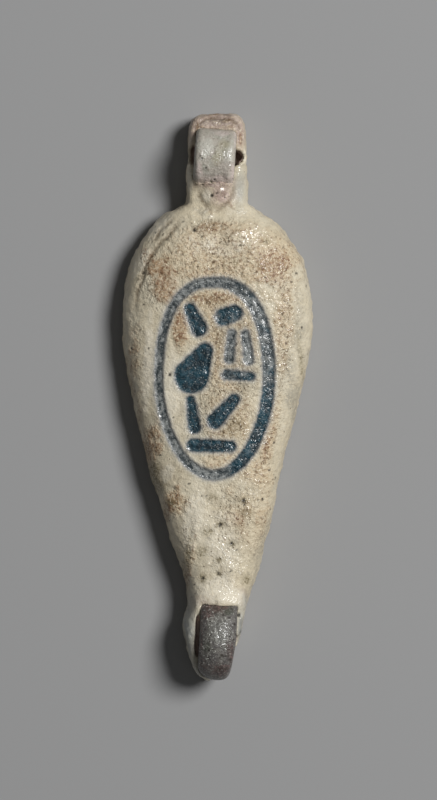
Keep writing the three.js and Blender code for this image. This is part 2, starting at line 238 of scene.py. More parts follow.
RING_STAINS_PX = {
    # Purplish patches, and painted shade along the lower ring's rounded left edge
    "mauve_and_shade": [
        (206, 611, 8, 9, 0, 1.0), (216, 606, 16, 5, 0, 1.0), (200.5, 630, 2.6, 28, 0, 1.0),
        (232, 652, 6, 15, 8, 1.0), (222, 669, 13, 8, 0, 0.9), (204, 665, 6, 10, 0, 0.5),
        (216, 183, 20, 6, 0, 0.8), (234, 176, 4, 14, 0, 0.6), (222, 134, 14, 4, 0, 0.6),
        (236, 142, 3, 12, 0, 0.6), (199, 172, 4, 14, 0, 0.7), (226, 169, 13, 9, -20, 0.5),
        (210, 177, 14, 6, 0, 0.4),
    ],
    # Paler patches, and painted highlight where the glints cluster
    "pale_and_highlight": [
        (213, 621, 9, 9, 0, 0.8), (219, 634, 12, 8, 0, 1.0), (209, 650, 8, 12, 0, 0.6),
        (225, 622, 6, 6, 0, 0.6), (206, 150, 9, 14, 0, 0.8), (214, 142, 14, 9, 0, 0.3),
        (230, 156, 5, 12, 0, 0.8), (209, 176, 9, 6, 0, 0.6),
    ],
    "moss": [
        (229, 609, 6, 6, 0, 1.0), (206, 644, 6, 10, 0, 0.7), (226, 646, 7, 7, 0, 0.6),
        (231, 628, 4, 9, 0, 0.5), (224, 146, 8, 6, 0, 0.7), (217, 160, 7, 11, 0, 0.7),
        (202, 184, 7, 5, 0, 0.7), (226, 132, 8, 3, 0, 0.4),
    ],
    "wet": [
        (219.7, 633.4, 5, 4, 0, 1.0), (216, 630, 13, 16, 0, 0.5), (204, 155, 7, 10, 0, 0.8),
        (229, 158, 6, 14, 0, 0.8), (214, 152, 20, 26, 0, 0.4), (222, 660, 14, 14, 0, 0.4),
    ],
}

# Pits that the photograph shows: (x, y) in its pixels, then the radius and the depth in millimetres.
PITS_PX = [
    (169.7, 375, 0.16, 0.16), (211.5, 196.5, 0.2, 0.22), (214, 182, 0.12, 0.1), (194.5, 231, 0.2, 0.15),
    (296.5, 273.5, 0.13, 0.12), (144, 305, 0.13, 0.12), (238.8, 614.2, 0.2, 0.25),
    (269.5, 470, 0.13, 0.12), (262.5, 499, 0.13, 0.12), (275.8, 478, 0.11, 0.1), (243.7, 500, 0.2, 0.1),
    (220.4, 524, 0.2, 0.1), (231.6, 543, 0.18, 0.12), (219, 572.6, 0.13, 0.12), (203, 577.6, 0.18, 0.12),
    (302, 328, 0.12, 0.12), (143, 273, 0.12, 0.1), (217.5, 194, 0.1, 0.1), (225, 198, 0.1, 0.1),
]
RING_PITS_PX = [
    (200.2, 157.6, 0.1, 0.1), (201.9, 160.1, 0.12, 0.12), (205.8, 169.6, 0.1, 0.1),
    (211, 183.2, 0.14, 0.12), (214.6, 180.7, 0.1, 0.1), (229.6, 635.5, 0.12, 0.1),
    (208.6, 648.5, 0.12, 0.1), (204, 675, 0.1, 0.1),
]

# Soft dabs of paste: (x, y) in the photograph's pixels, then the radius and the height in millimetres.
DABS_PX = [
    (239, 236, 1.3, 0.26), (254, 250, 1.2, 0.12), (215, 597, 1.3, 0.16), (224, 562, 1.2, 0.12),
    (196, 522, 1.7, 0.12), (180, 250, 1.5, 0.1), (240, 176, 0.8, 0.1), (212, 545, 1.0, 0.1),
    (220, 191.5, 0.5, 0.16),
]

# Smoothing marks left in the paste, as routes in the photograph's pixels with a width and a depth.
GROOVES_PX = [
    {"route": [(186, 219), (168.5, 234), (153, 252), (143, 273), (137, 296)], "width": 0.22, "depth": 0.12},
    {"route": [(176, 218), (161, 232), (150, 247)], "width": 0.15, "depth": 0.06},
    {"route": [(148, 268), (140, 286), (133, 312)], "width": 0.18, "depth": 0.08},
    {"route": [(195, 137), (198, 125), (206, 119.5), (218, 118.5), (231, 119.5), (238, 125), (241, 138)],
     "width": 0.15, "depth": 0.14},
    {"route": [(203, 114.5), (213, 113), (224, 113.5), (234, 116)], "width": 0.12, "depth": 0.07},
    {"route": [(212, 213), (221, 209), (229, 203), (233, 194), (235, 182)], "width": 0.15, "depth": 0.12},
    {"route": [(212, 213), (204, 204), (199, 196), (198, 189)], "width": 0.16, "depth": 0.07},
]

# Tiny pits strewn over the face between two corners, with the ranges of their radius and their depth, all
# in millimetres.
STREWN_PITS = {
    "seed": 7, "count": 60, "low": (-8, -17), "high": (8, 17),
    "radii": (0.06, 0.12), "depths": (0.03, 0.08),
}

# Layers of noise in millimetres, as (height, size of its bumps, seed). A ring's heights are shares of its
# lumpiness.
LUMPS = [(0.06, 4.0, 1), (0.05, 1.6, 2)]
CRUMBS = [(0.06, 0.8, 5), (0.035, 0.42, 8)]
SCALLOPS = [(0.12, 2.2, 9)]
EDGE_WANDER = [(0.05, 0.55, 3), (0.03, 0.2, 4)]
GROOVE_WANDER = [(0.16, 1.1, 14)]
BACK_LUMPS = [(0.03, 3.0, 6)]
RING_LUMPS = [(0.6, 1.6, 11), (0.3, 0.6, 12), (0.12, 0.28, 13)]

GRID_STEP = 0.135
RING_GRID_STEP = 0.08


# Curves and blends

def smoothstep(value, low, high):
    """0 at low, 1 at high, smooth between."""
    share = np.clip((value - low) / (high - low), 0, 1)
    return share * share * (3 - 2 * share)


def quarter(share, fullness):
    """A quarter of a superellipse: 1 at 0, falling to 0 at 1."""
    return (1 - np.clip(np.abs(share), 0, 1) ** fullness) ** (1 / fullness)


def end_fullness(distance, rounding, fullness):
    """How full a round end is at a distance in from its tip: 0 at the tip, 1 past the rounding."""
    return quarter(1 - np.clip(distance / rounding, 0, 1), fullness)


def soft_max(a, b, radius):
    near = np.maximum(radius - np.abs(a - b), 0) / radius
    return np.maximum(a, b) + near * near * radius / 4


def soft_min(a, b, radius):
    return -soft_max(-a, -b, radius)


def smooth_curve(pairs):
    """A smooth curve through [position, value] pairs, in either order."""
    positions, values = np.array(sorted(pairs), float).T
    slopes = np.gradient(values, positions)

    def curve(position):
        place = np.clip(position, positions[0], positions[-1])
        i = np.clip(np.searchsorted(positions, place) - 1, 0, len(positions) - 2)
        span = positions[i + 1] - positions[i]
        t = (place - positions[i]) / span
        rise = values[i + 1] - values[i]
        bend_in = slopes[i] * span - rise
        bend_out = rise - slopes[i + 1] * span
        return values[i] + rise * t + t * (1 - t) * (bend_in * (1 - t) + bend_out * t)

    return curve


# Rings

def ring_facts(node):
    """A ring's driving sizes, with its middle and its height from the frame."""
    low, high = node_box(node)
    return {**RINGS[node], "centre": (low + high) / 2, "height": high[2] - low[2]}


RING_FACTS = {node: ring_facts(node) for node in RINGS}


def ring_place(facts, x, y, z):
    """Distances from a ring's middle along its axis, across it along the petal, and up."""
    turn = math.radians(facts["turn"])
    dx, dy, dz = (value - centre for value, centre in zip((x, y, z), facts["centre"]))
    return dx * math.cos(turn) + dy * math.sin(turn), dy * math.cos(turn) - dx * math.sin(turn), dz


def ring_body(facts, x, y, z):
    """Distance to a ring without its bore. Its rounding grows over its crown and towards its worn end."""
    along, across, up = ring_place(facts, x, y, z)
    radius = facts["diameter"] / 2
    out = np.sqrt(across**2 + (up * facts["diameter"] / facts["height"]) ** 2)
    wear = facts["wear"] * smoothstep(-across, 0.2 * radius, radius)
    crown = facts["crown"] * smoothstep(up, 0.12 * facts["height"], 0.46 * facts["height"])
    rounding = facts["rounding"] + np.maximum(wear, crown)
    radial = out - (radius - rounding)
    axial = np.abs(along) - (facts["length"] / 2 - rounding)
    outside = np.sqrt(np.maximum(radial, 0) ** 2 + np.maximum(axial, 0) ** 2)
    body = outside + np.minimum(np.maximum(radial, axial), 0) - rounding
    if facts["worn"]:
        turn = math.radians(WORN_SIDE["lean"])
        side = along * math.cos(turn) + across * math.sin(turn) - WORN_SIDE["reach"]
        body = soft_max(body, side, WORN_SIDE["softness"])
    return body


def bore(facts, x, y, z):
    """Distance to the wall of a ring's thread hole."""
    _, across, up = ring_place(facts, x, y, z)
    return np.sqrt(across**2 + up**2) - facts["bore"] / 2


def thread_exit(facts, x, y, z):
    """Distance to the wall of the thread's way out through the petal, by each side's width and drop."""
    along, across, up = ring_place(facts, x, y, z)
    left, right = (
        np.sqrt(across**2 + (up + drop) ** 2) - width / 2
        for width, drop in (facts["exits"]["left"], facts["exits"]["right"])
    )
    return np.where(along < 0, left, right)


def ring_form(node):
    facts = RING_FACTS[node]

    def distance(x, y, z):
        return soft_max(ring_body(facts, x, y, z), -bore(facts, x, y, z), BORE_ROUNDING)

    return distance


# Petal

UPPER_RISE = RING_FACTS["upper_ring"]["centre"][1] - WIDEST_Y
LOWER_RISE = RING_FACTS["lower_ring"]["centre"][1] - WIDEST_Y
TOP_RISE = TOP_Y - WIDEST_Y
END_RISE = END_Y - WIDEST_Y
NECK_FOOT = UPPER_RISE - RINGS["upper_ring"]["diameter"] / 2
TAIL_FOOT = LOWER_RISE + RINGS["lower_ring"]["diameter"] / 2

lean = smooth_curve([
    (END_RISE, -0.5), (LOWER_RISE, -0.5), (0.8 * LOWER_RISE, 0.3), (0.4 * LOWER_RISE, -0.2),
    (0, 0), (0.6 * UPPER_RISE, -0.15), (TOP_RISE, -0.07),
])
crest = smooth_curve([
    (END_RISE, 0.85 * TAIL["height"]), (LOWER_RISE, 1.08 * TAIL["height"]), (TAIL_FOOT, TAIL["height"]),
    (0.6 * LOWER_RISE, 0.94 * FACE_HEIGHT), (0, FACE_HEIGHT), (0.55 * UPPER_RISE, 0.92 * FACE_HEIGHT),
    (NECK_FOOT, 0.97 * COLLAR["height"]), (UPPER_RISE, COLLAR["height"]),
    (TOP_RISE, 0.9 * COLLAR["height"]),
])
left_stray = smooth_curve([(y, left) for y, left, right in OUTLINE_STRAY])
right_stray = smooth_curve([(y, right) for y, left, right in OUTLINE_STRAY])


def half_width(rise):
    """Half the petal's width, with its neck and its tail, before the outline strays."""
    up = np.clip((rise - NECK_FOOT) / (TOP_RISE - NECK_FOOT), 0, 1)
    neck = (NECK_WIDTH + (COLLAR["width"] - NECK_WIDTH) * up) / 2
    neck = neck * end_fullness(TOP_RISE - rise, COLLAR["rounding"], COLLAR["fullness"])
    shoulder = HALF_WIDTH * quarter(rise / SHOULDER["length"], SHOULDER["fullness"])
    down = np.clip(-rise / TAPER["length"], 0, 1)
    taper = HALF_WIDTH * (1 - down ** TAPER["swell"]) ** TAPER["sharpness"]
    taper = taper * smoothstep(rise, LOWER_RISE, TAIL_FOOT)
    tail = TAIL["width"] / 2 * end_fullness(rise - END_RISE, TAIL["rounding"], TAIL["fullness"])
    upper = soft_max(shoulder, neck, NECK_FILLET)
    lower = soft_max(taper, tail, TAIL["fillet"])
    return np.where(rise > 0, upper, lower)


def petal_sections(y):
    """Each cross-section's middle and half width, and the heights of its crown and its edge."""
    rise = y - WIDEST_Y
    to_end = np.minimum(TOP_RISE - rise, rise - END_RISE)
    half = np.maximum(half_width(rise) + (right_stray(y) - left_stray(y)) / 2, 1e-3)
    middle = lean(rise) + (right_stray(y) + left_stray(y)) / 2
    lip = LIP["height"] * np.exp(-(((rise - TAIL_FOOT) / LIP["width"]) ** 2))
    crown = (crest(rise) + lip - FLANK_HEIGHT) * end_fullness(to_end, COLLAR["reach"], COLLAR["fullness"])
    edge = FLANK_HEIGHT * end_fullness(to_end, BACK_INSET, 2)
    return middle, half, np.maximum(crown, 1e-3), np.maximum(edge, 1e-3)


def raw_petal(x, y, z):
    """Below zero in the lofted petal and above it outside, but not a true distance."""
    middle, half, crown, edge = petal_sections(y)
    across = np.abs(x - middle)
    high = np.maximum(z - FLANK_HEIGHT, 0) / crown
    to_neck = smoothstep(y - WIDEST_Y, 0.75 * NECK_FOOT, NECK_FOOT)
    to_tail = smoothstep(WIDEST_Y - y, -TAIL_FOOT, -LOWER_RISE)
    fullness = FACE_FULLNESS + (NECK_FULLNESS - FACE_FULLNESS) * (to_neck + to_tail)
    face = ((across / half) ** fullness + high**fullness) ** (1 / fullness) - 1
    inset = np.minimum(BACK_INSET, half)
    past = np.maximum(across - (half - inset), 0) / inset
    low = np.maximum(FLANK_HEIGHT - z, 0) / edge
    under = np.sqrt(past**2 + low**2) - 1
    return np.where(z > FLANK_HEIGHT, face, under)


def true_distance(raw, x, y, z, eps=0.02):
    """A field's value divided by how fast it changes, which is close to a distance near its surface."""
    value = raw(x, y, z)
    steps = (raw(x + eps, y, z), raw(x, y + eps, z), raw(x, y, z + eps))
    steepness = sum((step - value) ** 2 for step in steps)
    return np.clip(value * eps / np.sqrt(np.maximum(steepness, 1e-10)), -3, 3)


def knob(x, y, z):
    """The dab of paste at the upper ring's foot."""
    places = zip((x, y, z), KNOB["centre"], KNOB["radii"])
    offsets = [(value - centre) / radius for value, centre, radius in places]
    return (np.sqrt(sum(offset**2 for offset in offsets)) - 1) * min(KNOB["radii"])


def petal_solid(x, y, z):
    """Distance to the petal as one solid lump, with paste smeared up the rings' ends."""
    body = true_distance(raw_petal, x, y, z)
    past_tips = np.maximum(y - TOP_Y, END_Y - y)
    body = soft_max(body, past_tips, TIP_SOFTNESS)
    body = soft_min(body, knob(x, y, z), KNOB["softness"])
    waver = sum(far * np.sin(pace * x + start) for far, pace, start in SMEAR_WAVES)
    for node, paste in SMEARS.items():
        facts = RING_FACTS[node]
        cover = ring_body(facts, x, y, z) - paste["thickness"]
        smear = soft_max(cover, z - paste["height"] - waver, SMEAR_EDGE)
        towards_petal = (y - facts["centre"][1]) * (-1 if node == "upper_ring" else 1)
        smear = soft_max(smear, SMEAR_START * facts["diameter"] - towards_petal, SMEAR_EDGE)
        body = soft_min(body, smear, paste["softness"])
    return np.maximum(body, past_tips)


def hollow(spot, x, y, z):
    """Distance to the wall or the floor of a hollow, which narrows as it goes down."""
    centre_x, centre_y = from_photo(*spot["middle"])
    half_x, half_y = (half * MM_PER_PIXEL for half in spot["half"])
    out = np.sqrt(((x - centre_x) / half_x) ** 2 + ((y - centre_y) / half_y) ** 2)
    reach = HOLLOW_FOOT + (1 - HOLLOW_FOOT) * np.clip((z - spot["floor"]) / HOLLOW_FLARE, 0, 1)
    return np.maximum((out - reach) * half_x, spot["floor"] - z)


def hollow_lips(x, y, z):
    """How far the paste is raised round the hollows."""
    lips = [spot for spot in HOLLOWS_PX if spot["lip"] > 0]
    return sum(
        spot["lip"] * np.exp(-((hollow(spot, x, y, z) / LIP_SPREAD - 1) ** 2)) for spot in lips
    )


def petal_form(x, y, z):
    """Distance to the petal, with its sockets, its hollows and the thread's way out through its flanks."""
    body = petal_solid(x, y, z)
    for facts in RING_FACTS.values():
        body = soft_max(body, JOINT - ring_body(facts, x, y, z), JOINT_FILLET)
        body = soft_max(body, -thread_exit(facts, x, y, z), JOINT_FILLET)
    for spot in HOLLOWS_PX:
        body = soft_max(body, -hollow(spot, x, y, z), JOINT_FILLET)
    return body


# Meshing

def surface_nets(values, low, step):
    """Vertices and quads of the surface where values on a grid cross zero."""
    inside = values < 0
    cells = tuple(count - 1 for count in values.shape)
    corners = [np.array(corner) for corner in itertools.product((0, 1), repeat=3)]

    def at(grid, corner):
        return grid[tuple(slice(start, start + count) for start, count in zip(corner, cells))]

    filled = sum(at(inside, corner).astype(np.int8) for corner in corners)
    crossed = (filled > 0) & (filled < len(corners))
    index = np.full(cells, -1, np.int64)
    index[crossed] = np.arange(crossed.sum())
    total = np.zeros((crossed.sum(), 3))
    count = np.zeros(crossed.sum())
    for a, b in itertools.combinations(corners, 2):
        if np.abs(a - b).sum() != 1:
            continue
        at_a, at_b = at(values, a)[crossed], at(values, b)[crossed]
        cut = (at_a < 0) != (at_b < 0)
        share = np.where(cut, at_a / np.where(cut, at_a - at_b, 1), 0)
        total += cut[:, None] * (a + share[:, None] * (b - a))
        count += cut
    points = low + step * (np.argwhere(crossed) + total / count[:, None])
    return points, np.concatenate([axis_quads(inside, index, axis) for axis in range(3)])


def axis_quads(inside, index, axis):
    """The quads round the cut grid edges that run along one axis, facing out."""
    first, second = np.eye(3, dtype=int)[[(axis + 1) % 3, (axis + 2) % 3]]
    start = [slice(1, -1)] * 3
    end = [slice(1, -1)] * 3
    start[axis], end[axis] = slice(0, -1), slice(1, None)
    before, after = inside[tuple(start)], inside[tuple(end)]
    edges = np.argwhere(before != after)
    leaving = before[tuple(edges.T)]
    base = edges + (1 - np.eye(3, dtype=int)[axis])
    round_edge = (base, base - first, base - first - second, base - second)
    quads = np.stack([index[tuple(cell.T)] for cell in round_edge], axis=1)
    return np.where(leaving[:, None], quads, quads[:, ::-1])


def gradient(distance, points, eps=0.01):
    steps = np.eye(3) * eps
    return np.stack([
        (distance(*(points + step).T) - distance(*(points - step).T)) / (2 * eps) for step in steps
    ], axis=1)


def mesh_of(distance, low, high, step, rounds=3):
    """Points, outward normals and quads of a distance field's zero surface."""
    axes = [np.arange(start - 2 * step, end + 3 * step, step) for start, end in zip(low, high)]
    x, y, z = np.meshgrid(*axes, indexing="ij", sparse=True)
    points, quads = surface_nets(distance(x, y, z), np.array([axis[0] for axis in axes]), step)
    for _ in range(rounds):
        slope = gradient(distance, points)
        pull = distance(*points.T) / np.maximum((slope**2).sum(1), 0.05)
        points = points - np.clip(pull, -step / 2, step / 2)[:, None] * slope
    slope = gradient(distance, points)
    normals = slope / np.maximum(np.linalg.norm(slope, axis=1), 1e-6)[:, None]
    return points, normals, quads


def noise_at(points, size, seed):
    """Smooth noise from -1 to 1 at points, with bumps of about the size given."""
    shift = Vector((seed * 7.31, seed * 3.17, seed * 5.93))
    return np.array([noise.noise(Vector(point) + shift) for point in points / size])


def layered_noise(points, layers):
    """Noise summed over layers, each of them a height, the size of its bumps and a seed."""
    return sum(height * noise_at(points, size, seed) for height, size, seed in layers)


def add_piece(name, points, quads, masks, material, node):
    """A shaded mesh piece that stands for a CAD node and rides on the part."""
    mesh = bpy.data.meshes.new(name)
    mesh.from_pydata((points * MM).tolist(), [], quads.tolist())
    mesh.shade_smooth()
    for mask, values in masks.items():
        mesh.attributes.new(mask, "FLOAT", "POINT").data.foreach_set("value", values.astype(np.float32))
    mesh.materials.append(material)
    piece = bpy.data.objects.new(name, mesh)
    bpy.context.scene.collection.objects.link(piece)
    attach(piece, "root")
    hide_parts(node)
    return piece


# Relief and masks

def stroke_edge(stroke, x, y):
    """Distance to a tapered, round-ended stroke's edge, below zero on the stroke."""
    turn = math.radians(stroke["turn"])
    dx, dy = x - OVAL["x"] - stroke["x"], y - OVAL["y"] - stroke["y"]
    along = dx * math.cos(turn) + dy * math.sin(turn)
    across = np.abs(dy * math.cos(turn) - dx * math.sin(turn))
    near = STROKE_SPREAD * stroke["width"] / 2
    far = near * stroke["taper"]
    span = STROKE_SPREAD * stroke["length"] - near - far
    along = along + STROKE_SPREAD * stroke["length"] / 2 - near
    narrowing = (near - far) / span
    lengthways = math.sqrt(1 - narrowing**2)
    reach = along * lengthways - across * narrowing
    beside = across * lengthways + along * narrowing - near
    at_near = np.hypot(along, across) - near
    at_far = np.hypot(along - span, across) - far
    return np.where(reach < 0, at_near, np.where(reach > span * lengthways, at_far, beside))


def oval_edge(x, y):
    """Distance to the oval line's edge, below zero on the line, which is thinner on its left."""
    dx, dy = x - OVAL["x"], y - OVAL["y"]
    power = np.where(dy > 0, OVAL["head"], OVAL["foot"])
    half_x, half_y = OVAL["width"] / 2, OVAL["length"] / 2

    def raw(px, py):
        return ((np.abs(px) / half_x) ** power + (np.abs(py) / half_y) ** power) ** (1 / power) - 1

    eps = 0.01
    value = raw(dx, dy)
    slope = np.hypot(raw(dx + eps, dy) - value, raw(dx, dy + eps) - value) / eps
    width = OVAL["line"] * (1 + 0.3 * smoothstep(dx, -1, 4) - 0.12 * smoothstep(-dx, 0, 4))
    return np.abs(value / np.maximum(slope, 1e-4)) - width / 2


def stain(x, y, spots):
    """How much of a stain lies at each point, from 0 to 1."""
    clear = np.ones_like(x)
    for px, py, half_x, half_y, turn, strength in spots:
        centre_x, centre_y = from_photo(px, py)
        angle = math.radians(turn)
        dx, dy = x - centre_x, y - centre_y
        across = (dx * math.cos(angle) + dy * math.sin(angle)) / (half_x * MM_PER_PIXEL)
        along = (dy * math.cos(angle) - dx * math.sin(angle)) / (half_y * MM_PER_PIXEL)
        clear = clear * (1 - strength * np.exp(-((across**2 + along**2) ** 1.3)))
    return 1 - clear


def pits(points, normals, spots):
    """How far pits sink at each point, and how much painted shade darkens them."""
    depth = np.zeros(len(points))
    dark = np.zeros(len(points))
    for px, py, radius, sink in spots:
        x, y = from_photo(px, py)
        away = np.hypot(points[:, 0] - x, points[:, 1] - y) / radius
        depth = np.maximum(depth, sink * np.clip(1 - away**2, 0, 1) ** 1.5)
        dark = np.maximum(dark, smoothstep(-away, -1.1, -0.5))
    facing_up = smoothstep(normals[:, 2], 0.3, 0.55)
    return depth * facing_up, dark * facing_up


def seeded_pits(seed, count, low, high, radii, depths):
    """Tiny pits strewn over a box of the petal's face."""
    random = np.random.default_rng(seed)
    spots = []
    for _ in range(count):
        x, y = random.uniform(low, high)
        px = x / MM_PER_PIXEL + PHOTO_ORIGIN[0]
        py = PHOTO_ORIGIN[1] - y / MM_PER_PIXEL
        spots.append((px, py, random.uniform(*radii), random.uniform(*depths)))
    return spots


def dabs(x, y):
    """How far the dabs raise the paste at each point."""
    raised = np.zeros_like(x)
    for px, py, radius, height in DABS_PX:
        centre_x, centre_y = from_photo(px, py)
        raised += height * np.exp(-((np.hypot(x - centre_x, y - centre_y) / radius) ** 2) * 1.5)
    return raised


def groove(facts, x, y):
    """How much of a groove there is at each point: 1 along its middle, fading at its ends."""
    path = np.array([from_photo(px, py) for px, py in facts["route"]])
    nearest = np.full(x.shape, 9.0)
    fade = np.zeros(x.shape)
    lengths = np.concatenate([[0], np.cumsum(np.linalg.norm(np.diff(path, axis=0), axis=1))])
    for i, (start, end) in enumerate(zip(path, path[1:])):
        span = end - start
        t = np.clip(((x - start[0]) * span[0] + (y - start[1]) * span[1]) / (span @ span), 0, 1)
        away = np.hypot(x - start[0] - t * span[0], y - start[1] - t * span[1])
        place = (lengths[i] + t * (lengths[i + 1] - lengths[i])) / lengths[-1]
        closer = away < nearest
        nearest = np.where(closer, away, nearest)
        fade = np.where(closer, smoothstep(place, 0, 0.15) * (1 - smoothstep(place, 0.7, 1)), fade)
    return np.exp(-((nearest / facts["width"]) ** 2)) * fade


def inlay_at(points, on_face):
    """Distance to the nearest inlay's edge, below zero on the inlay, and that inlay's share of violet."""
    x, y, _ = points.T
    strokes = np.stack([stroke_edge(stroke, x, y) for stroke in STROKES])
    stroke_violet = np.array([stroke["violet"] for stroke in STROKES])[strokes.argmin(0)]
    line = oval_edge(x, y)
    line_teal = smoothstep(x - OVAL["x"], 0, 3.5) * smoothstep(OVAL["y"] - y, -1, 4)
    line_violet = 1.05 - 0.42 * smoothstep(x - OVAL["x"], 0, 4) - 0.75 * line_teal
    edge = np.minimum(line, strokes.min(0)) + layered_noise(points, EDGE_WANDER)
    return np.where(on_face > 0.5, edge, 1.0), np.where(line < strokes.min(0), line_violet, stroke_violet)


def paste_relief(points, on_face, grooves, deep):
    """How far the hand-worked paste stands above the petal's smooth form, pits and inlay left out."""
    x, y, z = points.T
    crumbs = layered_noise(points, CRUMBS) * (2.0 - 1.2 * on_face)
    scallops = layered_noise(points, SCALLOPS) * (1 - 0.7 * on_face)
    relief = layered_noise(points, LUMPS) + crumbs + scallops + dabs(x, y) * on_face
    to_ring = np.min([ring_body(facts, x, y, z) for facts in RING_FACTS.values()], axis=0)
    relief = relief * smoothstep(z, 0.0, 1.0) * (0.25 + 0.75 * smoothstep(to_ring, 0.0, 0.6))
    sunk = sum(facts["depth"] * share for facts, share in zip(GROOVES_PX, grooves))
    return (relief - sunk + hollow_lips(x, y, z) * on_face) * (1 - deep)


def make_petal(material):
    points, normals, quads = mesh_of(petal_form, PETAL_LOW, PETAL_HIGH, GRID_STEP)
    x, y, z = points.T
    on_face = smoothstep(normals[:, 2], 0.0, 0.35)
    # How deep a point lies in a hollow or socket; it also carries the painted shade there
    deep = smoothstep(-petal_solid(x, y, z), 0.08, 0.4)
    edge, violet = inlay_at(points, on_face)
    dip = INLAY_DIP * smoothstep(-edge, -0.08, 0.14) * (1 - 0.3 * smoothstep(-edge, 0.15, 0.6))
    sink, dark = pits(points, normals, PITS_PX + seeded_pits(**STREWN_PITS))
    wander = layered_noise(points, GROOVE_WANDER)
    grooves = [groove(facts, x + wander, y - wander) * on_face for facts in GROOVES_PX]

    points = points + (paste_relief(points, on_face, grooves, deep) - dip - sink)[:, None] * normals
    back = 1 - smoothstep(z, 0.0, 0.35)
    points[:, 2] = np.maximum(points[:, 2], 0) + back * np.maximum(layered_noise(points, BACK_LUMPS), 0)

    facing_up = smoothstep(normals[:, 2], -0.3, 0.2)
    masks = {group: stain(x, y, spots) * facing_up for group, spots in STAINS_PX.items()}
    rim = smoothstep(dip, 0.01, 0.05) * (1 - smoothstep(dip, 0.06, 0.1))
    # Painted shade along the grooves
    crease = np.max(grooves, axis=0)
    masks.update(inlay=np.clip(edge, -1, 1), violet=violet, pit=dark, crease=crease, deep=deep, rim=rim)
    return add_piece("petal_body", points, quads, masks, material, "petal")


def make_ring(node, name, material):
    points, normals, quads = mesh_of(ring_form(node), *node_box(node), RING_GRID_STEP)
    facts = RING_FACTS[node]
    along, _, _ = ring_place(facts, *points.T)
    sink, dark = pits(points, normals, RING_PITS_PX)
    lumps = facts["lumpiness"] * layered_noise(points, RING_LUMPS)
    points = points + (lumps - sink)[:, None] * normals
    on_top = smoothstep(normals[:, 2], 0.0, 0.3)
    masks = {group: stain(*points.T[:2], spots) * on_top for group, spots in RING_STAINS_PX.items()}
    to_edge = smoothstep(np.abs(along), 0.25 * facts["length"], 0.5 * facts["length"])
    # Painted shade inside the thread hole: how far into the bore a point lies
    bore_shade = smoothstep(-bore(facts, *points.T), -0.25, 0.02)
    masks.update(pit=dark, edge=to_edge, bore=bore_shade)
    return add_piece(name, points, quads, masks, material, node)


# Materials

def srgb(red, green, blue):
    """A colour read as 0 to 255 on a screen, as the linear colour that nodes take."""
    shares = [value / 255 for value in (red, green, blue)]
    linear = [s / 12.92 if s <= 0.04045 else ((s + 0.055) / 1.055) ** 2.4 for s in shares]
    return (*linear, 1.0)


class Glaze:
    """A glazed material's node tree, with short calls for its textures and its layers of colour."""

    def __init__(self, name, colour):
        self.material = bpy.data.materials.new(name)
        self.material.use_nodes = True
        self.tree = self.material.node_tree
        self.shader = self.tree.nodes["Principled BSDF"]
        self.coordinates = self.tree.nodes.new("ShaderNodeTexCoord").outputs["Object"]
        self.colour = colour

    def plug(self, node, inputs):
        """Links outputs to a node's inputs, or sets plain values on them."""
        for socket, value in inputs.items():
            if isinstance(value, bpy.types.NodeSocket):
                self.tree.links.new(value, node.inputs[socket])
            else:
                node.inputs[socket].default_value = value

    def mask(self, name):
        node = self.tree.nodes.new("ShaderNodeAttribute")
        node.attribute_name = name
        return node.outputs["Fac"]

    def noise(self, size, detail=2.0, roughness=0.5, distortion=0.0):
        """Noise whose bumps are about size millimetres across."""
        node = self.tree.nodes.new("ShaderNodeTexNoise")
        self.plug(node, {"Vector": self.coordinates, "Scale": 1 / (size * MM)})
        self.plug(node, {"Detail": detail, "Roughness": roughness, "Distortion": distortion})
        return node.outputs["Fac"]

    def cells(self, size):
        """Distance to the nearest of scattered points about size millimetres apart."""
        node = self.tree.nodes.new("ShaderNodeTexVoronoi")
        self.plug(node, {"Vector": self.coordinates, "Scale": 1 / (size * MM)})
        return node.outputs["Distance"]

    def between(self, value, low, high, to_low=0.0, to_high=1.0):
        """Goes smoothly from to_low to to_high as the value goes from low to high."""
        node = self.tree.nodes.new("ShaderNodeMapRange")
        node.interpolation_type = "SMOOTHSTEP"
        self.plug(node, {"Value": value, "From Min": low, "From Max": high})
        self.plug(node, {"To Min": to_low, "To Max": to_high})
        return node.outputs["Result"]

    def maths(self, operation, a, b):
        node = self.tree.nodes.new("ShaderNodeMath")
        node.operation = operation
        self.plug(node, {0: a, 1: b})
        return node.outputs[0]

    def times(self, a, b):
        return self.maths("MULTIPLY", a, b)

    def plus(self, a, b):
        return self.maths("ADD", a, b)

    def mix(self, share, a, b):
        node = self.tree.nodes.new("ShaderNodeMix")
        node.data_type = "RGBA"
        self.plug(node, {0: share, 6: a, 7: b})
        return node.outputs[2]

    def lay(self, share, colour):
        """Lays another colour over a share of what has been laid so far."""
        self.colour = self.mix(share, self.colour, colour)

    def bump(self, height, depth, normal=None):
        """Bump of a height from 0 to 1 that stands for so many millimetres."""
        node = self.tree.nodes.new("ShaderNodeBump")
        self.plug(node, {"Height": height, "Distance": depth * MM})
        if normal is not None:
            self.plug(node, {"Normal": normal})
        return node.outputs["Normal"]

    def finish(self, roughness, normal, coat, coat_roughness, coat_normal):
        self.plug(self.shader, {"Base Color": self.colour, "Roughness": roughness, "Normal": normal})
        self.plug(self.shader, {"Coat Weight": coat, "Coat Roughness": coat_roughness})
        self.plug(self.shader, {"Coat Normal": coat_normal})
        return self.material


